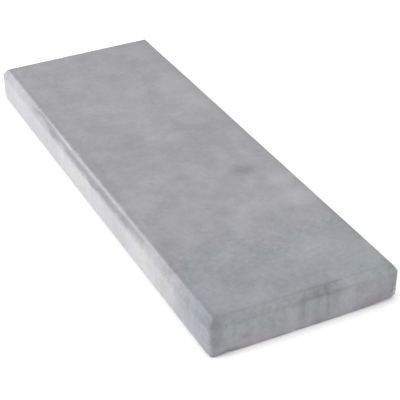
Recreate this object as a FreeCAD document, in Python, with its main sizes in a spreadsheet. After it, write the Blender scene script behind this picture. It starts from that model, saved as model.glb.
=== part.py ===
"""Flat concrete wall coping, cast in one piece.

The stone lies flat as it would on its wall. +Z is up, the long sides run along Y and the
short ends face -Y and +Y. The origin is at the middle of the bed, the underside that rests
on the wall. All sizes are millimetres.
"""
import FreeCAD, Part
import Sketcher
import math
import os

# Driving dimensions
SIZES = {
    # Overall block
    "length": 900.0,
    "width": 300.0,
    "thickness": 60.0,
    # Weathered bevel round all four sides of the crown: how far it runs in, how far it drops
    "bevel_run": 8.0,
    "bevel_drop": 12.0,
    # Plan radius of the crown's corners, and the soft arrises that a timber mould leaves
    "crown_corner_radius": 2.0,
    "arris_radius": 2.5,
    "foot_radius": 2.0,
    # Half-round drip grooves in the underside, and the distance from long edge to groove middle
    "drip_radius": 6.0,
    "drip_inset": 27.0,
}

# How near to a plane an edge has to lie to count as being in it
TOUCH = 0.001


def make_sheet(document):
    """Put the driving dimensions in a spreadsheet, one named cell each."""
    sheet = document.addObject("Spreadsheet::Sheet", "Sizes")
    for row, (name, value) in enumerate(SIZES.items(), start=1):
        sheet.set("A%d" % row, name)
        sheet.set("B%d" % row, str(value))
        sheet.setAlias("B%d" % row, name)
    document.recompute()
    return sheet


def origin_plane(body, role):
    """One of the body's own base planes, such as XY_Plane."""
    return next(item for item in body.Origin.OriginFeatures if item.Role == role)


def make_sketch(body, name, role):
    """An empty sketch on one of the body's base planes."""
    sketch = body.newObject("Sketcher::SketchObject", name)
    sketch.AttachmentSupport = [(origin_plane(body, role), "")]
    sketch.MapMode = "FlatFace"
    return sketch


def bind(feature, **expressions):
    """Tie properties of a feature to cells of the sheet."""
    for name, expression in expressions.items():
        feature.setExpression(name, expression)


def draw_plan(sketch):
    """The block seen from above: a rectangle centred on the origin."""
    half_width = SIZES["width"] / 2
    half_length = SIZES["length"] / 2
    corners = [
        FreeCAD.Vector(-half_width, -half_length, 0),
        FreeCAD.Vector(half_width, -half_length, 0),
        FreeCAD.Vector(half_width, half_length, 0),
        FreeCAD.Vector(-half_width, half_length, 0),
    ]
    for number, corner in enumerate(corners):
        following = corners[(number + 1) % len(corners)]
        sketch.addGeometry(Part.LineSegment(corner, following), False)
    near_end, right_side, far_end, left_side = range(4)
    # A sketch's numbers for its own origin and for the ends of a line
    origin, origin_point, start, finish = -1, 1, 1, 2
    for line in range(4):
        sketch.addConstraint(Sketcher.Constraint("Coincident", line, finish, (line + 1) % 4, start))
    for line in (near_end, far_end):
        sketch.addConstraint(Sketcher.Constraint("Horizontal", line))
    for line in (right_side, left_side):
        sketch.addConstraint(Sketcher.Constraint("Vertical", line))
    sketch.addConstraint(
        Sketcher.Constraint("Symmetric", near_end, start, far_end, start, origin, origin_point)
    )
    across = Sketcher.Constraint("DistanceX", near_end, start, near_end, finish, SIZES["width"])
    add_size(sketch, across, "plan_width", "Sizes.width")
    along = Sketcher.Constraint("DistanceY", right_side, start, right_side, finish, SIZES["length"])
    add_size(sketch, along, "plan_length", "Sizes.length")


def add_size(sketch, constraint, name, expression):
    """Add a named constraint whose value comes from the sheet."""
    number = sketch.addConstraint(constraint)
    sketch.renameConstraint(number, name)
    sketch.setExpression("Constraints." + name, expression)


def draw_drips(sketch):
    """The ends of both drip grooves: circles whose middles lie in the underside."""
    # A sketch's numbers for its own origin and cross axis, and for the middle of a circle
    origin, origin_point, cross_axis, middle = -1, 1, -1, 3
    reach = SIZES["width"] / 2 - SIZES["drip_inset"]
    radius = SIZES["drip_radius"]
    for side, name in ((-1, "left"), (1, "right")):
        centre = FreeCAD.Vector(side * reach, 0, 0)
        circle = sketch.addGeometry(Part.Circle(centre, FreeCAD.Vector(0, 0, 1), radius), False)
        sketch.addConstraint(Sketcher.Constraint("PointOnObject", circle, middle, cross_axis))
        ends = (circle, middle, origin, origin_point)
        if side > 0:
            ends = (origin, origin_point, circle, middle)
        offset = Sketcher.Constraint("DistanceX", *ends, reach)
        add_size(sketch, offset, name + "_reach", "Sizes.width / 2 - Sizes.drip_inset")
        half_round = Sketcher.Constraint("Radius", circle, radius)
        add_size(sketch, half_round, name + "_radius", "Sizes.drip_radius")


def edges_where(feature, wanted):
    """The names of a feature's edges that pass a test."""
    return [
        "Edge%d" % number
        for number, edge in enumerate(feature.Shape.Edges, start=1)
        if wanted(edge)
    ]


def lies_at(height):
    """A test for edges that lie in the level plane at a height."""
    def wanted(edge):
        box = edge.BoundBox
        return abs(box.ZMin - height) < TOUCH and abs(box.ZMax - height) < TOUCH
    return wanted


def is_upright(edge):
    """A test for the block's four vertical edges."""
    box = edge.BoundBox
    return box.XLength < TOUCH and box.YLength < TOUCH


def dress(body, kind, name, edges, base, **expressions):
    """Fillet or chamfer the named edges of a feature."""
    feature = body.newObject("PartDesign::" + kind, name)
    feature.Base = (base, edges)
    bind(feature, **expressions)
    body.Document.recompute()
    return feature


def make_coping(document):
    """The whole stone: padded block, rounded corners, bevelled crown, soft arrises, drips."""
    body = document.addObject("PartDesign::Body", "coping")
    body.Label = "coping"

    plan = make_sketch(body, "plan", "XY_Plane")
    draw_plan(plan)
    block = body.newObject("PartDesign::Pad", "block")
    block.Profile = plan
    bind(block, Length="Sizes.thickness")
    document.recompute()

    # The upright corners are concentric with the crown's, so the bevel keeps one width round them
    corners = dress(body, "Fillet", "corners", edges_where(block, is_upright), block,
                    Radius="Sizes.crown_corner_radius + Sizes.bevel_run")

    # The bevel takes its drop from the sides and its run from the top face
    thickness = SIZES["thickness"]
    crown = dress(body, "Chamfer", "crown_bevel", edges_where(corners, lies_at(thickness)), corners)
    crown.ChamferType = "Two distances"
    bind(crown, Size="Sizes.bevel_drop", Size2="Sizes.bevel_run")
    document.recompute()

    # Soft arrises: round the top of the bevel, its foot, and the underside
    shoulder = thickness - SIZES["bevel_drop"]
    soft_edges = edges_where(crown, lies_at(thickness)) + edges_where(crown, lies_at(shoulder))
    arrises = dress(body, "Fillet", "arrises", soft_edges, crown, Radius="Sizes.arris_radius")
    foot = dress(body, "Fillet", "foot_arris", edges_where(arrises, lies_at(0.0)), arrises,
                 Radius="Sizes.foot_radius")

    # Both drip grooves run the whole length and out through the ends
    drip_ends = make_sketch(body, "drip_ends", "XZ_Plane")
    draw_drips(drip_ends)
    document.recompute()
    drips = body.newObject("PartDesign::Pocket", "drip_grooves")
    drips.Profile = drip_ends
    drips.Type = "ThroughAll"
    drips.SideType = "Symmetric"
    # An exact cut: a fuzzy one can miss grooves as slim as these on a block this long
    drips.FuzzyTolerance = 0
    document.recompute()
    two_half_rounds = math.pi * SIZES["drip_radius"] ** 2 * SIZES["length"]
    check_cut(drips, foot, two_half_rounds)
    body.Tip = drips
    return body


def check_cut(pocket, before, expected):
    """Stop if a pocket hasn't taken away most of the volume that its size says."""
    removed = before.Shape.Volume - pocket.Shape.Volume
    print("%s: %.0f mm3 removed, %.0f expected" % (pocket.Name, removed, expected))
    if removed < expected / 2:
        raise RuntimeError(pocket.Name + " doesn't cut what it should")


def check_document(document):
    """Stop if any object of the document has failed."""
    for item in document.Objects:
        if "Invalid" in item.State or "Error" in item.State:
            raise RuntimeError("%s failed: %s" % (item.Name, item.State))


def export(body):
    """Write one sub-part to its own STEP file."""
    shape = body.Shape
    if shape.isNull() or not shape.isValid() or len(shape.Solids) != 1:
        raise RuntimeError(body.Label + " is not one valid solid")
    box = shape.optimalBoundingBox(False, False)
    cubic_mm_per_litre = 1e6
    print("%s: %.1f x %.1f x %.1f mm, %.2f litres"
          % (body.Label, box.XLength, box.YLength, box.ZLength, shape.Volume / cubic_mm_per_litre))
    shape.exportStep("parts/%s.step" % body.Label)


def main():
    document = FreeCAD.newDocument("wall_coping")
    make_sheet(document)
    coping = make_coping(document)
    document.recompute()
    check_document(document)
    os.makedirs("parts", exist_ok=True)
    export(coping)


main()
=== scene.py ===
"""How the concrete wall coping looks: the stone's worn cast shape, its concrete, and the studio round it.

The stone's shape is worked out in millimetres and its mesh is in metres, in the frame of the CAD:
+Z is up, the long sides run along Y, and the origin is at the middle of the bed.
"""
import itertools
import math

import bpy
import numpy as np
from mathutils import Matrix, Vector


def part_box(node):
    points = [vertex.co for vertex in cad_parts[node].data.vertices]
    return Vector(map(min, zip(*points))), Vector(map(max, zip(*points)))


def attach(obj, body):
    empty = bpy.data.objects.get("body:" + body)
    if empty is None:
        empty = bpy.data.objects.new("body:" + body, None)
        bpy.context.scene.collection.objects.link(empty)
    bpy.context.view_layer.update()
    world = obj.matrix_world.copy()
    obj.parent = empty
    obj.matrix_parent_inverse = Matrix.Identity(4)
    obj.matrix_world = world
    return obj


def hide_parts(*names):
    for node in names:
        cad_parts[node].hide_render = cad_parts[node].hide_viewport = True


MM = 0.001
RADIANS = math.pi / 180

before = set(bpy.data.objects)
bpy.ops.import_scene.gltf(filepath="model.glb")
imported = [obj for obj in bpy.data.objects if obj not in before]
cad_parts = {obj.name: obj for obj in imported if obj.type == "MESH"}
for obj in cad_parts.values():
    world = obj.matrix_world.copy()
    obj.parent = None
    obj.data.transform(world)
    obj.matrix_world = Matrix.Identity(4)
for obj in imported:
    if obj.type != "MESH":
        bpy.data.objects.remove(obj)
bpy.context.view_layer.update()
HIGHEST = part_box("coping")[1]
HALF_WIDTH = HIGHEST.x / MM
HALF_LENGTH = HIGHEST.y / MM
THICKNESS = HIGHEST.z / MM

# The section that the source gives the stone
BEVEL_RUN = 8.0
BEVEL_DROP = 12.0
ARRIS_RADIUS = 2.5
FOOT_RADIUS = 2.0
DRIP_RADIUS = 6.0
DRIP_INSET = 27.0
DRIP_REACH = HALF_WIDTH - DRIP_INSET

# Every upright corner lies in a square zone of this size, and has its own worn plan radius there,
# at the bed and at the crown
CORNER_ZONE = 14.0
CORNER_RADII = {(-1, -1): (5.0, 3.5), (1, -1): (9.0, 2.0), (-1, 1): (4.0, 3.0), (1, 1): (7.0, 6.0)}
SMALLEST_RADIUS = 1.0

# The mouths of the drip grooves are worn wide and shallow: how deep, how wide and how far in
MOUTH_DEPTH = 3.2
MOUTH_HALF_WIDTH = 11.0
MOUTH_REACH = 9.0

# Broken corners of the underside: which corner, and how far the break reaches along X, Y and Z
BREAKS = (
    ((1, -1), (78, 17, 7)),
    ((1, -1), (13, 9, 12)),
    ((-1, -1), (5, 6, 6)),
    ((1, 1), (9, 12, 8)),
    ((-1, 1), (8, 8, 10)),
)

# Nicks in the edges: middle, radius, and the direction in which the stone gives way
NICKS = (
    ((147, -455, 17), 12.0, (-0.6, 1, 0.15)),
    ((-151, -441, -1), 6.0, (1, 0, 0.8)),
    ((-151, 62, -1), 5.0, (1, 0, 0.8)),
    ((151, 205, -1), 8.0, (-1, 0, 0.8)),
)

# How far wear reaches from the crown's arris, from the bevel's foot and from the bed's edge
CROWN_WEAR = 2.6
SHOULDER_WEAR = 3.5
FOOT_WEAR = 3.0

# How finely the stone is divided: steps over a corner zone, lines over a groove, from a groove to
# the zone beside it, between the grooves and along the stone, the longest piece of the section,
# and the angle from which an edge is shaded sharp
ZONE_STEPS = 8
GROOVE_LINES = 13
BESIDE_GROOVE_LINES = 4
BETWEEN_GROOVES_LINES = 46
LENGTH_LINES = 300
LONGEST_PIECE = 3.0
SHARP_ANGLE = 40 * RADIANS


# Smooth noise

NOISE_VALUES = 4096
NOISE_PRIMES = np.array([73856093, 19349663, 83492791])


def noise(points, cell, seed):
    """Noise from about -1 to 1: seeded random values on a lattice, blended smoothly between."""
    values = np.random.default_rng(seed).uniform(-1, 1, NOISE_VALUES)
    place = points / cell
    corner = np.floor(place).astype(np.int64)
    part = place - corner
    part = part ** 3 * (part * (part * 6 - 15) + 10)
    total = np.zeros(len(points))
    for step in itertools.product((0, 1), repeat=3):
        number = np.bitwise_xor.reduce((corner + step) * NOISE_PRIMES, axis=1)
        share = np.prod(np.where(step, part, 1 - part), axis=1)
        total += share * values[number % NOISE_VALUES]
    return total


def ramp(value, start, end):
    """0 up to start, 1 from end on, and a smooth rise between."""
    part = np.clip((value - start) / (end - start), 0, 1)
    return part * part * (3 - 2 * part)


# The stone's shape

def round_off(points, radii, steps):
    """A polyline in the plane whose inner corners are rounded to the radii, each in so many steps."""
    points = np.array(points, float)
    line = [points[0]]
    for number, (radius, count) in enumerate(zip(radii, steps), start=1):
        corner = points[number]
        back = points[number - 1] - corner
        ahead = points[number + 1] - corner
        back /= np.linalg.norm(back)
        ahead /= np.linalg.norm(ahead)
        half = math.acos(back @ ahead) / 2
        middle = corner + (back + ahead) / np.linalg.norm(back + ahead) * radius / math.sin(half)
        start = corner + back * radius / math.tan(half) - middle
        end = corner + ahead * radius / math.tan(half) - middle
        turn = math.pi - 2 * half
        for part in np.linspace(0, 1, count + 1):
            spoke = start * math.sin((1 - part) * turn) + end * math.sin(part * turn)
            line.append(middle + spoke / math.sin(turn))
    line.append(points[-1])
    return line


def subdivide(line, longest):
    """The same polyline with no piece longer than the given length."""
    fine = [line[0]]
    for start, end in zip(line, line[1:]):
        count = max(1, math.ceil(np.linalg.norm(end - start) / longest))
        fine += [start + (end - start) * part / count for part in range(1, count + 1)]
    return np.array(fine)


def make_profile():
    """How the side climbs from bed to crown: distance in from the side's plane, and height."""
    shoulder = THICKNESS - BEVEL_DROP
    corners = [(CORNER_ZONE, 0), (0, 0), (0, shoulder), (BEVEL_RUN, THICKNESS), (CORNER_ZONE, THICKNESS)]
    radii = (FOOT_RADIUS, ARRIS_RADIUS, ARRIS_RADIUS)
    steps = (4, 3, 5)
    line = round_off(corners, radii, steps)
    # Its ends lie in the bed and the crown, which have grids of their own
    return subdivide(line[1:-1], LONGEST_PIECE)


def make_lines(middle):
    """Grid lines across one direction: for each, its signed zone share and its place inside the zones."""
    share = np.linspace(1, 0, ZONE_STEPS, endpoint=False)
    low = [(-part, 0.0) for part in share]
    high = [(part, 0.0) for part in share[::-1]]
    return np.array(low + [(0.0, place) for place in middle] + high)


def across_lines():
    """Grid lines over the width, dense at the drip grooves so that they stay round."""
    inner = HALF_WIDTH - CORNER_ZONE
    groove = DRIP_REACH + DRIP_RADIUS * np.cos(np.linspace(math.pi, 0, GROOVE_LINES))
    right = np.concatenate([groove, np.linspace(groove[-1], inner, BESIDE_GROOVE_LINES)[1:]])
    between = np.linspace(-groove[0], groove[0], BETWEEN_GROOVES_LINES)[1:-1]
    return make_lines(np.concatenate([-right[::-1], between, right]))


def along_lines():
    """Grid lines over the length."""
    inner = HALF_LENGTH - CORNER_ZONE
    return make_lines(np.linspace(-inner, inner, LENGTH_LINES))


def spread(lines, numbers, inset, half):
    """Coordinates of numbered grid lines at an inset, and how deep in a corner zone they are."""
    share, place = lines[numbers, 0], lines[numbers, 1]
    depth = np.abs(share) * (CORNER_ZONE - inset)
    inner = half - CORNER_ZONE
    return np.where(share == 0, place, np.sign(share) * (inner + depth)), depth


def round_corner(a, b, inset, radius):
    """Bend a square corner zone to a round corner; a and b are distances from the zone's inner corner."""
    reach = CORNER_ZONE - inset
    longer = np.maximum(a, b)
    share = np.minimum(a, b) / np.maximum(longer, 1e-9)
    bend = np.maximum(radius - inset, SMALLEST_RADIUS)
    straight = reach - bend
    walk = share * (straight + bend * math.pi / 4)
    angle = np.maximum(walk - straight, 0) / bend
    short = np.where(walk < straight, walk, straight + bend * np.sin(angle))
    long = np.where(walk < straight, reach, straight + bend * np.cos(angle))
    scale = longer / reach
    return np.where(a > b, long, short) * scale, np.where(a > b, short, long) * scale


def arris_walk(profile, walk):
    """How far along the profile its crown arris lies."""
    away = np.hypot(profile[:, 0] - BEVEL_RUN, profile[:, 1] - THICKNESS)
    return walk[np.argmin(away)]


def shell(profile, columns, rows):
    """The stone's surface as one closed grid: points, quads, and how far down from the crown arris."""
    counts = np.array([len(columns), len(rows), len(profile)])
    last = counts - 1
    lattice = np.indices(counts).reshape(3, -1)
    on_shell = ((lattice == 0) | (lattice == last[:, None])).any(axis=0)
    number = np.cumsum(on_shell).reshape(counts) - 1
    i, j, k = lattice[:, on_shell]

    inset = profile[k, 0]
    height = profile[k, 1]
    x, deep_x = spread(columns, i, inset, HALF_WIDTH)
    y, deep_y = spread(rows, j, inset, HALF_LENGTH)
    for (side_x, side_y), (low, high) in CORNER_RADII.items():
        here = (deep_x > 0) & (deep_y > 0) & (x * side_x > 0) & (y * side_y > 0)
        radius = low + (high - low) * height[here] / THICKNESS
        a, b = round_corner(deep_x[here], deep_y[here], inset[here], radius)
        x[here] = side_x * (HALF_WIDTH - CORNER_ZONE + a)
        y[here] = side_y * (HALF_LENGTH - CORNER_ZONE + b)

    quads = []
    for axis in range(3):
        face = np.moveaxis(number, axis, 0)
        for layer, outward in ((0, False), (-1, True)):
            sheet = face[layer]
            quad = np.stack([sheet[:-1, :-1], sheet[1:, :-1], sheet[1:, 1:], sheet[:-1, 1:]], -1)
            # The middle axis is the one whose two others come in left-handed order
            flip = outward == (axis == 1)
            quads.append((quad[..., ::-1] if flip else quad).reshape(-1, 4))
    points = np.stack([x, y, height], -1)
    walk = np.concatenate([[0], np.cumsum(np.linalg.norm(np.diff(profile, axis=0), axis=1))])
    down = arris_walk(profile, walk) - walk[k]
    on_crown = (k == last[2]) & (i > 0) & (i < last[0]) & (j > 0) & (j < last[1])
    from_side = np.minimum(HALF_WIDTH - np.abs(x), HALF_LENGTH - np.abs(y))
    down = np.where(on_crown, np.minimum(down, BEVEL_RUN - from_side), down)
    return points, np.concatenate(quads), down


def cut_drips(points):
    """Lift the underside into the two half-round drip grooves, and the ends' lower edges with it."""
    # The height up to which the faces over the underside are lifted with it
    fade = 24.0
    away = np.abs(np.abs(points[:, 0]) - DRIP_REACH)
    rise = np.sqrt(np.maximum(DRIP_RADIUS ** 2 - away ** 2, 0))
    from_end = HALF_LENGTH - np.abs(points[:, 1])
    mouth = MOUTH_DEPTH * np.exp(-(away / MOUTH_HALF_WIDTH) ** 2) * (1 - ramp(from_end, 1.0, MOUTH_REACH))
    rise = np.maximum(rise, mouth)
    points[:, 2] += rise * np.clip(1 - points[:, 2] / fade, 0, 1)


def normals_of(points, quads):
    """A unit normal for every point, from the quads round it."""
    one = points[quads[:, 2]] - points[quads[:, 0]]
    two = points[quads[:, 3]] - points[quads[:, 1]]
    face = np.cross(one, two)
    total = np.zeros_like(points)
    for corner in range(4):
        np.add.at(total, quads[:, corner], face)
    return total / np.maximum(np.linalg.norm(total, axis=1, keepdims=True), 1e-9)


def edge_distance(points):
    """Distances in mm from the crown's arris, from the bevel's foot and from the underside's edge."""
    in_x = HALF_WIDTH - np.abs(points[:, 0])
    in_y = HALF_LENGTH - np.abs(points[:, 1])
    inset = np.minimum(in_x, in_y)
    height = points[:, 2]
    crown = np.hypot(inset - BEVEL_RUN, height - THICKNESS)
    shoulder = np.hypot(inset, height - (THICKNESS - BEVEL_DROP))
    foot = np.hypot(inset, height)
    return crown, shoulder, foot


def break_edges(points):
    """Break the corners back to rough slanting faces and nick the edges; says how far points moved."""
    # How sharply a broken face meets the whole ones, how far beyond its end it is felt, and how
    # much of a nick's radius is lost
    sharpness = 9
    beyond = 1.5
    nick_depth = 0.45
    before = points.copy()
    rough = 0.10 * noise(points, 7, 41) + 0.08 * noise(points, 3, 42)
    for (side_x, side_y), (reach_x, reach_y, reach_z) in BREAKS:
        slope = np.array([-side_x / reach_x, -side_y / reach_y, 1 / reach_z])
        corner = np.array([side_x * HALF_WIDTH, side_y * HALF_LENGTH, 0.0])
        # 0 at the corner and 1 where the break runs out
        share = (points - corner) @ slope + rough
        push = np.where(share < beyond, np.logaddexp(0, (1 - share) * sharpness) / sharpness, 0)
        points += push[:, None] * slope / (slope @ slope)
    for middle, radius, inward in NICKS:
        inward = np.array(inward, float)
        away = np.linalg.norm(points - np.array(middle, float), axis=1)
        push = np.maximum(radius * (1 + 3 * rough) - away, 0) * nick_depth
        points += push[:, None] * inward / np.linalg.norm(inward)
    return np.linalg.norm(points - before, axis=1)


def wear(points, quads):
    """Wear the stone; says how freshly broken each point is. Every move is inward."""
    fresh = ramp(break_edges(points), 0.5, 1.8)
    normals = normals_of(points, quads)
    crown, shoulder, foot = edge_distance(points)
    near_crown = np.exp(-(crown / CROWN_WEAR) ** 2)
    near_shoulder = np.exp(-(shoulder / SHOULDER_WEAR) ** 2)
    near_foot = np.exp(-(foot / FOOT_WEAR) ** 2)

    # Faces that were never quite flat
    depth = 0.10 * (1 + noise(points, 95, 11)) + 0.05 * (1 + noise(points, 31, 12))
    # Arrises that wander, with small chips
    wander = 0.28 * (1 + noise(points, 38, 21)) + 0.22 * (1 + noise(points, 11, 22))
    depth += wander * (near_crown + 0.7 * near_shoulder + near_foot)
    chips = ramp(noise(points, 9, 31) + 0.5 * noise(points, 4, 32), 0.62, 1.0)
    depth += chips * (0.8 * near_crown + 0.3 * near_shoulder + 1.6 * near_foot)
    moved = points - normals * depth[:, None]
    moved[:, 2] = np.clip(moved[:, 2], 0, THICKNESS)
    return moved, fresh


def make_mesh(name, points, quads, **marks):
    """A smooth-shaded mesh object, in metres, with its real corners kept sharp and a value per mark."""
    mesh = bpy.data.meshes.new(name)
    mesh.from_pydata((points * MM).tolist(), [], quads.tolist())
    mesh.validate()
    mesh.shade_smooth()
    mesh.set_sharp_from_angle(angle=SHARP_ANGLE)
    for mark, values in marks.items():
        mesh.attributes.new(mark, "FLOAT", "POINT").data.foreach_set("value", values.astype(np.float32))
    made = bpy.data.objects.new(name, mesh)
    bpy.context.scene.collection.objects.link(made)
    return made


# Tones of the concrete

def tone(red, green, blue):
    """A colour given as it shows on a screen, 0 to 255, as the light values that shaders use."""
    shown = np.array([red, green, blue]) / 255
    light = np.where(shown <= 0.04045, shown / 12.92, ((shown + 0.055) / 1.055) ** 2.4)
    return (*light.tolist(), 1.0)


WARM_GREY = tone(167, 166, 171)
COOL_GREY = tone(172, 171, 176)
DAMP_GREY = tone(159, 163, 167)
DAMP_BLUE_GREY = tone(165, 167, 173)
SIDE_GREY = tone(176, 175, 176)
SIDE_BLUE_GREY = tone(174, 173, 179)
DAMP_SIDE_GREY = tone(153, 157, 158)
DAMP_SIDE_BLUE_GREY = tone(154, 157, 164)
END_TOP_GREY = tone(165, 169, 172)
END_LOW_GREY = tone(172, 170, 176)
EDGE_GREY = tone(166, 162, 167)
EDGE_CORNER_GREY = tone(156, 153, 160)
EDGE_GREEN_GREY = tone(158, 167, 163)
BED_GREY = tone(152, 151, 150)
MOSS_GREY = tone(163, 164, 158)
STAIN_GREY = tone(139, 138, 143)
# Pale grey of the left crown arris, partly wear and partly a painted highlight
WORN_AND_HIGHLIGHT_GREY = tone(190, 190, 193)
FRESH_GREY = tone(203, 203, 199)
GRAVEL_GREY = tone(150, 150, 147)
PORE_GREY = tone(110, 110, 114)

# Patches of another tone: middle and half size in mm, tone and strength
PATCHES = (
    # Tongues along the border of the damp zone on the crown
    ((-76, -296, 60), (40, 46, 20), DAMP_GREY, 1.0),
    ((-28, -290, 60), (20, 60, 20), DAMP_GREY, 1.0),
    ((47, -300, 60), (24, 62, 20), DAMP_GREY, 1.0),
    ((6, -296, 60), (28, 30, 20), WARM_GREY, 1.0),
    ((95, -296, 60), (36, 34, 20), WARM_GREY, 1.0),
    ((-136, -290, 60), (26, 46, 20), WARM_GREY, 1.0),
    ((55, -352, 60), (50, 50, 20), DAMP_BLUE_GREY, 0.8),
    # Its right edge is warmer again, with a green cast behind
    ((142, -400, 60), (16, 60, 20), EDGE_GREY, 0.9),
    ((140, -446, 54), (16, 22, 16), EDGE_CORNER_GREY, 0.9),
    ((120, -436, 60), (28, 16, 20), EDGE_GREEN_GREY, 0.7),
    # Near end
    ((-90, -450, 20), (44, 20, 32), END_LOW_GREY, 1.0),
    ((-62, -450, 10), (46, 20, 18), END_LOW_GREY, 1.0),
    ((-10, -450, 22), (18, 20, 26), END_LOW_GREY, 0.7),
    ((100, -450, 26), (62, 20, 40), END_LOW_GREY, 1.0),
    ((144, -450, 42), (18, 24, 16), END_TOP_GREY, 1.0),
)

# Soft spots: middle and half size in mm, and how much lighter or, below 0, darker
SPOTS = (
    # Crown
    ((77, -110, 60), (30, 22, 30), -0.22),
    ((-22, -85, 60), (20, 18, 30), -0.08),
    ((-55, 60, 60), (30, 34, 30), -0.06),
    ((-60, 20, 60), (60, 90, 30), -0.03),
    ((-5, 215, 60), (80, 70, 30), 0.06),
    ((5, 50, 60), (40, 40, 30), 0.06),
    ((110, 190, 60), (50, 170, 30), 0.09),
    ((112, 8, 60), (36, 44, 30), 0.06),
    ((100, 392, 60), (50, 50, 30), 0.05),
    ((105, -40, 60), (12, 60, 30), 0.07),
    ((118, -155, 60), (44, 36, 30), 0.17),
    ((116, -220, 60), (46, 44, 30), 0.21),
    ((20, -215, 60), (40, 40, 30), 0.04),
    ((-128, 10, 60), (12, 320, 30), -0.06),
    ((-122, -265, 60), (34, 40, 30), -0.11),
    ((80, -366, 60), (70, 60, 30), 0.08),
    ((122, -400, 60), (40, 50, 30), 0.06),
    ((-70, -420, 60), (60, 30, 30), 0.07),
    ((-118, -370, 60), (50, 60, 30), 0.05),
    ((-65, -355, 60), (30, 30, 30), -0.05),
    ((-10, -418, 60), (34, 30, 30), -0.04),
    ((-132, -440, 60), (26, 20, 30), -0.05),
    ((-128, -302, 60), (26, 26, 30), -0.05),
    ((-138, -375, 60), (14, 70, 20), 0.04),
    ((146, -290, 60), (30, 34, 30), -0.08),
    ((22, -442, 60), (44, 18, 30), -0.07),
    # Near end
    ((14, -450, 48), (32, 30, 18), -0.11),
    ((34, -446, 55), (22, 30, 10), -0.04),
    ((-16, -448, 51), (26, 20, 12), -0.07),
    ((-38, -448, 49), (18, 20, 12), -0.04),
    ((55, -450, 28), (12, 20, 16), 0.06),
    ((68, -450, 46), (16, 20, 6), -0.08),
    ((-80, -448, 52), (60, 20, 14), -0.04),
    ((72, -448, 56), (20, 20, 9), 0.08),
    ((66, -450, 30), (20, 20, 44), 0.07),
    ((-26, -450, 26), (16, 20, 22), 0.05),
    # Painted shade on the near end beside its left corner
    ((-138, -448, 50), (26, 20, 14), -0.10),
    ((-141, -450, 30), (18, 20, 20), -0.13),
    ((134, -450, 36), (44, 30, 60), -0.09),
    ((-98, -450, 20), (11, 20, 9), -0.10),
    ((92, -450, 38), (20, 20, 12), -0.12),
    # Dark band along the foot, partly painted shadow in the mouth of the right drip groove
    ((106, -450, 8), (46, 20, 18), -0.13),
    ((20, -450, 4), (30, 20, 10), -0.09),
    # Painted shadow in the mouth of the left drip groove
    ((-122, -450, 4), (26, 20, 10), -0.24),
    ((-20, -450, 32), (34, 20, 16), 0.07),
    ((12, -450, 24), (16, 20, 22), -0.05),
    # Left side
    ((-150, -450, 30), (30, 60, 60), -0.10),
    ((-150, -345, 30), (30, 80, 60), -0.05),
    ((-150, -210, 25), (30, 90, 60), 0.08),
    ((-150, 430, 30), (30, 60, 60), -0.05),
    ((-150, -435, 52), (20, 40, 14), -0.05),
    ((-150, 205, 22), (20, 7, 9), -0.14),
    ((-150, 0, 25), (30, 170, 60), 0.03),
    ((-145, -185, 56), (14, 90, 4.5), -0.08),
    ((-147, 230, 51), (14, 75, 9), 0.075),
    ((-145, -297, 56), (14, 24, 5), 0.05),
    ((-150, -315, 45), (20, 50, 8), -0.045),
    ((-150, -395, 44), (20, 50, 8), -0.055),
)

# Stretches of the left crown arris made lighter, partly by wear and partly as a painted highlight: middle
# and half length in mm, and strength
RUBBED_AND_HIGHLIT = (
    (140, 24, 0.5),
    (112, 16, 0.9),
    (20, 40, 0.3),
    (-55, 32, 0.85),
    (-270, 40, 0.4),
)

# How the border of the dirt on the left bevel runs: middle and half length of a stretch, and how
# much further up and down it reaches there, in mm
STAIN_BORDER = (
    (232, 56, 3.5, -1.0),
    (182, 36, 2.0, 4.5),
    (70, 70, 0.0, 4.0),
    (-12, 46, 0.0, 6.5),
    (-85, 60, 0.5, 3.5),
    (-165, 60, 1.5, 4.0),
)


# Materials

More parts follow.
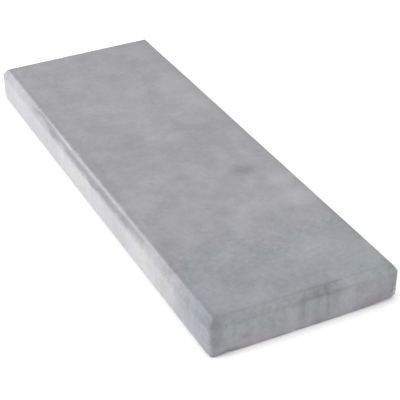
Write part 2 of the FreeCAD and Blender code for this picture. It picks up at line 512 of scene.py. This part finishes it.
class Graph:
    """Short ways to add the nodes of one material."""

    def __init__(self, name):
        self.material = bpy.data.materials.new(name)
        self.material.use_nodes = True
        self.nodes = self.material.node_tree.nodes
        self.links = self.material.node_tree.links
        self.nodes.clear()

    def add(self, kind, inputs, **settings):
        """One node; inputs are values or sockets by name or number."""
        node = self.nodes.new("ShaderNode" + kind)
        for setting, value in settings.items():
            setattr(node, setting, value)
        for socket, value in inputs.items():
            if isinstance(value, bpy.types.NodeSocket):
                self.links.new(value, node.inputs[socket])
            else:
                node.inputs[socket].default_value = value
        return node

    def math(self, operation, *values):
        """A sum on values, by its name in Blender."""
        return self.add("Math", dict(enumerate(values)), operation=operation).outputs[0]

    def vector(self, operation, *values):
        """A sum on vectors, by its name in Blender."""
        return self.add("VectorMath", dict(enumerate(values)), operation=operation).outputs[0]

    def noise(self, where, scale, detail, roughness):
        """Noise around 0.5."""
        inputs = {"Vector": where, "Scale": scale, "Detail": detail, "Roughness": roughness}
        return self.add("TexNoise", inputs).outputs["Fac"]

    def product(self, value, *factors):
        """The product of all that is given."""
        for factor in factors:
            value = self.math("MULTIPLY", value, factor)
        return value

    def sway(self, value, amount, middle):
        """Middle, and up to half the amount more or less as value goes from 0 to 1."""
        return self.math("MULTIPLY_ADD", self.math("SUBTRACT", value, 0.5), amount, middle)

    def fit(self, value, low, high, to_low, to_high, kind="SMOOTHSTEP"):
        """Value's range low to high as to_low to to_high, held level beyond."""
        inputs = {"Value": value, "From Min": low, "From Max": high, "To Min": to_low, "To Max": to_high}
        return self.add("MapRange", inputs, interpolation_type=kind).outputs["Result"]

    def rise(self, value, low, high):
        """0 where value is below low and 1 where it is above high, with a smooth rise between."""
        return self.fit(value, low, high, 0.0, 1.0)

    def fall(self, value, low, high):
        """1 where value is below low and 0 where it is above high, with a smooth fall between."""
        return self.fit(value, low, high, 1.0, 0.0)

    def band(self, value, low, high, soft):
        """1 where value is between low and high, falling softly to 0 outside."""
        return self.math("MULTIPLY", self.rise(value, low - soft, low + soft),
                         self.fall(value, high - soft, high + soft))

    def mix(self, factor, first, second):
        """The first colour where factor is 0 and the second where it is 1."""
        return self.add("Mix", {0: factor, 6: first, 7: second}, data_type="RGBA").outputs[2]

    def finish(self, shader):
        """The material, with the shader as its surface."""
        self.add("OutputMaterial", {"Surface": shader})
        return self.material


class Concrete(Graph):
    """Cast concrete: clouded cement skin, sand, pinholes, stains, and clean stone where it is broken.

    Lengths are in mm. Only the textures read places in metres, and their scales count per metre.
    """

    def __init__(self):
        super().__init__("concrete")
        coordinates = self.add("TexCoord", {}).outputs
        self.place = coordinates["Object"]
        self.x, self.y, self.z = self.add("SeparateXYZ", {0: self.in_mm(self.place)}).outputs
        self.down = self.add("Attribute", {}, attribute_name="down").outputs["Fac"]
        self.fresh = self.add("Attribute", {}, attribute_name="fresh").outputs["Fac"]
        self.find_faces(coordinates["Normal"])

        # Places stirred a little, so that what is drawn there gets ragged borders
        wobble = self.add("TexNoise", {"Vector": self.place, "Scale": 24.0, "Detail": 4.0}).outputs["Color"]
        wobble = self.vector("SUBTRACT", wobble, (0.5, 0.5, 0.5))
        self.stirred = self.vector("MULTIPLY_ADD", wobble, (22 * MM,) * 3, self.place)
        self.stirred_mm = self.in_mm(self.stirred)
        bent = self.vector("MULTIPLY_ADD", wobble, (50 * MM,) * 3, self.place)
        self.bent_x = self.add("SeparateXYZ", {0: self.stirred_mm}).outputs["X"]
        self.bent_y = self.add("SeparateXYZ", {0: self.in_mm(bent)}).outputs["Y"]

        # Noise from broad to fine
        self.smudges = self.noise(self.place, 20.0, 2.0, 0.5)
        self.middling = self.noise(self.place, 26.0, 5.0, 0.6)
        self.fine = self.noise(self.place, 120.0, 4.0, 0.65)
        self.sandy = self.noise(self.place, 330.0, 3.0, 0.6)
        self.grain = self.noise(self.place, 900.0, 2.0, 0.6)
        self.patchy = self.fit(self.fine, 0.36, 0.56, 0.45, 1.0)
        self.bent_down = self.sway(self.middling, 12.0, self.down)

        # Grains of sand in the skin, and the gravel under it
        sand = self.add("TexVoronoi", {"Vector": self.place, "Scale": 520.0}).outputs
        self.sand_lot = self.add("SeparateColor", {0: sand["Color"]}).outputs
        self.speck = self.fall(sand["Distance"], 0.25, 0.50)
        self.gravel = self.add("TexVoronoi", {"Vector": self.stirred, "Scale": 260.0}).outputs

    def in_mm(self, where):
        """A place in metres as one in mm."""
        return self.vector("MULTIPLY", where, (1 / MM,) * 3)

    def find_faces(self, normal):
        """How much a place belongs to the crown, the left side, the near end, the bed and any upright."""
        x, y, z = self.add("SeparateXYZ", {0: normal}).outputs
        self.top = self.rise(z, 0.80, 0.97)
        self.left = self.fall(x, -0.75, -0.45)
        self.near = self.fall(y, -0.75, -0.45)
        # The drip grooves count as bed. Only a broken corner has other faces so low and so far in
        margin = 1.3
        outer = DRIP_REACH + MOUTH_HALF_WIDTH
        end = HALF_LENGTH - margin
        far_in = self.product(self.fall(self.math("ABSOLUTE", self.x), outer - 0.5, outer + 0.5),
                              self.fall(self.math("ABSOLUTE", self.y), end - 0.3, end + 0.3))
        low = self.product(self.rise(self.z, 0.6, 1.8), self.fall(self.z, 7.5, 8.5))
        self.groove = self.product(far_in, low)
        self.bed = self.math("MAXIMUM", self.fall(z, -0.9, -0.5), self.groove)
        self.upright = self.math("SUBTRACT", 1.0, self.math("MAXIMUM", self.top, self.bed))

    def soft_spot(self, middle, size):
        """1 in the middle of an oval spot, falling softly to 0 at its rim."""
        away = self.vector("SUBTRACT", self.stirred_mm, middle)
        scaled = self.vector("DIVIDE", away, size)
        distance = self.add("VectorMath", {0: scaled}, operation="LENGTH").outputs["Value"]
        return self.fall(distance, 0.1, 1.0)

    def stretched(self, where, amounts, scale, detail, roughness):
        """Noise drawn out along the axes whose amounts are below 1."""
        return self.noise(self.vector("MULTIPLY", where, amounts), scale, detail, roughness)

    def lighten(self, shade, amount, *factors):
        """Shade with the product of the factors, times the amount, added to it."""
        return self.math("MULTIPLY_ADD", self.product(*factors), amount, shade)

    def darken(self, shade, amount, *factors):
        """Shade with the product of the factors, times the amount, taken off it."""
        return self.lighten(shade, -amount, *factors)

    def clouds(self):
        """How light the skin is: clouds from broad to fine, runs down the faces, sand and spots."""
        shade = self.sway(self.noise(self.place, 6.0, 2.0, 0.5), 0.13, 0.96)
        # The near end and the damp zone by it are the most mottled, and then the left side
        lively = self.fit(self.y, -320, -250, 1.6, 1.0)
        lively = self.math("MULTIPLY_ADD", self.left, 0.15, lively)
        shade = self.sway(self.middling, self.math("MULTIPLY", lively, 0.20), shade)
        shade = self.sway(self.fine, self.math("MULTIPLY", lively, 0.29), shade)
        shade = self.sway(self.grain, 0.45, shade)
        shade = self.sway(self.sandy, self.math("MULTIPLY_ADD", self.near, 0.06, 0.06), shade)
        runs = self.stretched(self.place, (1.0, 1.0, 0.10), 60.0, 3.0, 0.6)
        streaky = self.math("MULTIPLY_ADD", self.near, 0.08, 0.21)
        shade = self.sway(runs, self.math("MULTIPLY", self.upright, streaky), shade)
        shade = self.darken(shade, 0.14, self.speck, self.rise(self.sand_lot["Red"], 0.90, 0.93))
        shade = self.lighten(shade, 0.10, self.speck, self.rise(self.sand_lot["Green"], 0.92, 0.95))
        # Float marks on the bed, and dirt in its grooves
        floated = self.stretched(self.stirred, (1.0, 0.25, 1.0), 45.0, 4.0, 0.6)
        shade = self.sway(floated, self.math("MULTIPLY", self.bed, 0.30), shade)
        shade = self.darken(shade, 0.16, self.groove, self.patchy)
        for middle, size, change in SPOTS:
            shade = self.lighten(shade, change, self.soft_spot(middle, size))
        return shade

    def crown_tones(self):
        """Warm and cool clouds, and the damp zone at the near end, whose border leans back at the top."""
        border = self.sway(self.noise(self.place, 14.0, 3.0, 0.6), 160, self.bent_y)
        border = self.sway(self.fine, 80, border)
        lean = self.product(self.math("SUBTRACT", self.z, THICKNESS), 0.25)
        damp = self.fall(self.math("SUBTRACT", border, lean), -325, -285)
        dry = self.mix(self.rise(self.middling, 0.35, 0.65), WARM_GREY, COOL_GREY)
        return self.mix(damp, dry, DAMP_GREY)

    def side_tones(self):
        """Grey with runs of a bluer one, darker in the damp zone."""
        streaks = self.stretched(self.place, (1.0, 1.0, 0.4), 38.0, 3.0, 0.7)
        border = self.sway(self.smudges, 60, self.sway(streaks, 60, self.y))
        damp = self.fall(border, -385, -305)
        blue = self.rise(streaks, 0.40, 0.60)
        return self.mix(damp, self.mix(blue, SIDE_GREY, SIDE_BLUE_GREY),
                        self.mix(blue, DAMP_SIDE_GREY, DAMP_SIDE_BLUE_GREY))

    def base_tones(self):
        """The tones of all faces, before dirt and wear."""
        colour = self.mix(self.left, self.crown_tones(), self.side_tones())
        height = self.sway(self.middling, 30, self.z)
        end = self.mix(self.fall(height, 10, 22), END_TOP_GREY, END_LOW_GREY)
        colour = self.mix(self.near, colour, end)
        for middle, size, patch, strength in PATCHES:
            colour = self.mix(self.product(self.soft_spot(middle, size), strength), colour, patch)
        # A mottled band along the right edge of the crown
        moss = self.product(self.rise(self.bent_x, 118, 140), self.rise(self.fine, 0.40, 0.62),
                            self.top, self.fit(self.middling, 0.40, 0.56, 0.25, 0.85))
        colour = self.mix(moss, colour, MOSS_GREY)
        return self.mix(self.bed, colour, BED_GREY)

    def left_bevel(self, colour, shade):
        """Dirt and painted shade on the left bevel, and stretches of the arris over it lightened as wear
        and as a painted highlight.
        """
        reach_up = reach_down = 0.0
        for middle, half, up, low in STAIN_BORDER:
            here = self.band(self.bent_y, middle - half / 2, middle + half / 2, half / 2)
            reach_up = self.math("MULTIPLY_ADD", here, up, reach_up)
            reach_down = self.math("MULTIPLY_ADD", here, low, reach_down)
        # Its upper border is firm and its lower one is ragged
        upper = self.math("ADD", self.down, reach_up)
        lower = self.math("SUBTRACT", self.sway(self.smudges, 9.0, self.bent_down), reach_down)
        dirt_and_shade_stretch = self.band(self.bent_y, -220, 275, 35)
        stain = self.product(self.rise(upper, 3.8, 6.6), self.fall(lower, 6.5, 13.5), dirt_and_shade_stretch, self.left,
                             self.fit(self.patchy, 0.45, 1.0, 0.46, 0.71))
        colour = self.mix(stain, colour, STAIN_GREY)
        # Painted shade: the whole bevel is darkened against the side, as if it caught less light, and the
        # band round its shoulder more so where the dirt lies
        shade = self.darken(shade, 0.11, self.band(self.down, -0.5, 19.0, 3.5), self.left)
        shade = self.darken(shade, 0.08, self.band(self.bent_down, 8.0, 20.0, 4.0), self.left, dirt_and_shade_stretch)
        # Beside its arris the crown is a little darker
        skirt = self.band(self.bent_down, -8.0, -1.5, 1.5)
        shade = self.darken(shade, 0.07, skirt, self.fall(self.x, -130, -100))
        rubbed_and_highlit = 0.0
        for middle, half, strength in RUBBED_AND_HIGHLIT:
            here = self.band(self.bent_y, middle - half, middle + half, 12)
            rubbed_and_highlit = self.math("MAXIMUM", rubbed_and_highlit, self.product(here, strength))
        # Painted highlight mixed with wear: the arris is made paler in these stretches
        worn = self.product(self.band(self.down, -1.2, 3.2, 1.2), self.fit(self.fine, 0.38, 0.58, 0.3, 1.0),
                            rubbed_and_highlit, self.left)
        return self.mix(worn, colour, WORN_AND_HIGHLIGHT_GREY), shade

    def near_bevel(self, shade):
        """Dirt on the near bevel: a line along each edge, a smear in the middle and runs below it."""
        smear = self.band(self.bent_x, 0, 56, 12)
        # The line along the crown's arris is faint on its left
        at_end = self.product(self.fall(self.y, -440, -434), self.band(self.x, -105, 105, 30))
        crown_line = self.product(self.band(self.down, -1.8, 1.8, 1.8), at_end, self.patchy,
                                  self.fit(self.x, -100, -40, 0.3, 1.0))
        shade = self.darken(shade, 0.06, crown_line)
        shade = self.darken(shade, 0.08, crown_line, smear)
        # The line along the lower edge fades out at both corners
        lower_line = self.product(self.band(self.bent_down, 12.5, 16.5, 2.5), self.near, self.patchy)
        shade = self.darken(shade, 0.085, lower_line, self.band(self.x, -120, 105, 20))
        broad_line = self.product(self.band(self.bent_down, 10.5, 19.5, 3.5), self.near, self.patchy)
        shade = self.darken(shade, 0.08, broad_line, smear)
        shade = self.darken(shade, 0.05, self.band(self.bent_down, 2.0, 16.0, 3.0), self.near, smear)
        runs = self.stretched(self.place, (1.0, 1.0, 0.06), 85.0, 2.0, 0.6)
        return self.darken(shade, 0.13, self.rise(runs, 0.46, 0.64), self.near,
                           self.rise(self.z, 4, 26), self.band(self.bent_x, -16, 52, 10))

    def broken(self, colour):
        """Broken places show clean stone and the gravel in it."""
        stones = self.add("SeparateColor", {0: self.gravel["Color"]}).outputs["Red"]
        stone = self.mix(self.rise(stones, 0.6, 0.9), FRESH_GREY, GRAVEL_GREY)
        return self.mix(self.product(self.fresh, 0.9), colour, stone)

    def pinholes(self):
        """Holes that air left in the skin, more of them on the upright faces."""
        widest = 0.075
        holes = []
        for scale, share in ((48.0, 0.80), (130.0, 0.70)):
            cells = self.add("TexVoronoi", {"Vector": self.stirred, "Scale": scale}).outputs
            lot = self.add("SeparateColor", {0: cells["Color"]}).outputs
            lucky = self.math("MULTIPLY_ADD", self.upright, 0.12, lot["Red"])
            size = self.fit(lucky, share, 1.1, -0.02, widest, kind="LINEAR")
            holes.append(self.fall(self.math("SUBTRACT", cells["Distance"], size), -0.014, 0.010))
        return self.math("MAXIMUM", *holes)

    def relief(self, pore):
        """The skin's own unevenness, in mm."""
        height = self.product(self.grain, 0.26)
        height = self.math("MULTIPLY_ADD", self.sandy, 0.24, height)
        height = self.math("MULTIPLY_ADD", self.fine, 0.45, height)
        height = self.math("MULTIPLY_ADD", self.middling, 0.6, height)
        height = self.math("MULTIPLY_ADD", self.speck, 0.05, height)
        height = self.math("MULTIPLY_ADD", pore, -0.7, height)
        return self.math("MULTIPLY_ADD", self.product(self.gravel["Distance"], self.fresh), -2.0, height)

    def make(self):
        """The material, from the broad tones to the pinholes."""
        colour = self.base_tones()
        shade = self.clouds()
        colour, shade = self.left_bevel(colour, shade)
        shade = self.near_bevel(shade)
        colour = self.broken(colour)
        colour = self.add("VectorMath", {0: colour, 3: shade}, operation="SCALE").outputs[0]
        pore = self.pinholes()
        colour = self.mix(self.product(pore, 0.55), colour, PORE_GREY)
        bump = self.add("Bump", {"Strength": 1.0, "Distance": MM, "Height": self.relief(pore)}).outputs[0]
        rough = self.fit(self.fine, 0.3, 0.7, 0.76, 0.92)
        surface = self.add("BsdfPrincipled", {"Base Color": colour, "Roughness": rough, "Normal": bump,
                                              "Specular IOR Level": 0.3})
        return self.finish(surface.outputs[0])


def make_stone():
    """The whole stone in one mesh, in place of the plain solid."""
    points, quads, down = shell(make_profile(), across_lines(), along_lines())
    cut_drips(points)
    points, fresh = wear(points, quads)
    stone = make_mesh("coping_stone", points, quads, down=down, fresh=fresh)
    stone.data.materials.append(Concrete().make())
    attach(stone, "root")
    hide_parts("coping")
    print("coping_stone: %d triangles" % (2 * len(stone.data.polygons)))


# Studio

WORLD_LEVEL = 0.68
FLOOR_REACH = 8.0
FLOOR_TONE = tone(236, 236, 236)
FLOOR_LIFT = 0.45
CONTACT_SHADOW = 0.015
WHITE = (1, 1, 1, 1)

# Soft boxes: name, place, target and size in metres, and the level that a white surface gets there
LAMPS = (
    ("key", (-2.6, 0.6, 0.7), (-0.15, 0.0, 0.03), (1.4, 0.9), 0.97),
    ("front", (0.6, -3.0, 0.9), (0.0, -0.45, 0.03), (1.6, 1.2), 0.18),
    ("right", (1.6, -0.5, 1.6), (0.1, -0.1, 0.06), (1.2, 1.2), 0.09),
)

# The photo's viewing angle, from above the near left corner: place in metres, angles in degrees,
# lens and sensor in mm
CAMERA_PLACE = (-0.7019, -1.6432, 1.0626)
CAMERA_HEADING = -24.53
CAMERA_TILT = 31.57
CAMERA_ROLL = -2.03
CAMERA_LENS = 111.04
CAMERA_SENSOR = 36.0


def make_floor_material():
    """White floor that the camera sees as white where nothing shades it, and that keeps the shadow."""
    graph = Graph("floor")
    path = graph.add("LightPath", {}).outputs
    seen = graph.math("MAXIMUM", path["Is Camera Ray"], path["Is Glossy Ray"])
    seen = graph.math("MAXIMUM", seen, path["Is Transmission Ray"])
    paint = graph.add("BsdfDiffuse", {"Color": FLOOR_TONE}).outputs[0]
    # Tight places under the stone stay dark
    open_air = graph.add("AmbientOcclusion", {"Distance": CONTACT_SHADOW}, samples=8).outputs["AO"]
    strength = graph.product(seen, open_air, FLOOR_LIFT)
    lift = graph.add("Emission", {"Color": WHITE, "Strength": strength}).outputs[0]
    total = graph.add("AddShader", {0: paint, 1: lift}).outputs[0]
    return graph.finish(total)


def make_floor():
    """A level floor in the plane of the bed."""
    mesh = bpy.data.meshes.new("floor")
    corners = [(x * FLOOR_REACH, y * FLOOR_REACH, 0) for x, y in ((-1, -1), (1, -1), (1, 1), (-1, 1))]
    mesh.from_pydata(corners, [], [(0, 1, 2, 3)])
    floor = bpy.data.objects.new("floor", mesh)
    bpy.context.scene.collection.objects.link(floor)
    mesh.materials.append(make_floor_material())


def make_world():
    """Even soft light from all round, which the camera sees as white."""
    world = bpy.data.worlds.new("studio")
    world.use_nodes = True
    bpy.context.scene.world = world
    tree = world.node_tree
    path = tree.nodes.new("ShaderNodeLightPath").outputs
    background = tree.nodes["Background"]
    background.inputs["Color"].default_value = WHITE
    seen = path["Is Camera Ray"]
    for ray in ("Is Glossy Ray", "Is Transmission Ray"):
        either = tree.nodes.new("ShaderNodeMath")
        either.operation = "MAXIMUM"
        tree.links.new(seen, either.inputs[0])
        tree.links.new(path[ray], either.inputs[1])
        seen = either.outputs[0]
    level = tree.nodes.new("ShaderNodeMapRange")
    level.inputs["To Min"].default_value = WORLD_LEVEL
    level.inputs["To Max"].default_value = 1.0
    tree.links.new(seen, level.inputs["Value"])
    tree.links.new(level.outputs["Result"], background.inputs["Strength"])


def make_lamp(name, place, target, size, level):
    """A soft box that gives a white surface facing it at the target the stated level."""
    data = bpy.data.lights.new(name, "AREA")
    data.shape = "RECTANGLE"
    data.size, data.size_y = size
    place, target = Vector(place), Vector(target)
    distance = (target - place).length
    # A lamp of so many watts gives this level to a surface far enough away
    data.energy = level * math.pi * math.pi * distance ** 2
    lamp = bpy.data.objects.new(name, data)
    lamp.location = place
    lamp.rotation_euler = (target - place).to_track_quat("-Z", "Y").to_euler()
    bpy.context.scene.collection.objects.link(lamp)


def make_camera():
    """The camera at the photo's viewing angle, turned a little clockwise."""
    data = bpy.data.cameras.new("camera")
    data.sensor_width = CAMERA_SENSOR
    data.lens = CAMERA_LENS
    camera = bpy.data.objects.new("camera", data)
    camera.matrix_world = (
        Matrix.Translation(CAMERA_PLACE)
        @ Matrix.Rotation(CAMERA_HEADING * RADIANS, 4, "Z")
        @ Matrix.Rotation((90 - CAMERA_TILT) * RADIANS, 4, "X")
        @ Matrix.Rotation(CAMERA_ROLL * RADIANS, 4, "Z")
    )
    bpy.context.scene.collection.objects.link(camera)
    bpy.context.scene.camera = camera


make_stone()
make_floor()
make_world()
for lamp in LAMPS:
    make_lamp(*lamp)
make_camera()
bpy.context.scene.view_settings.view_transform = "Standard"
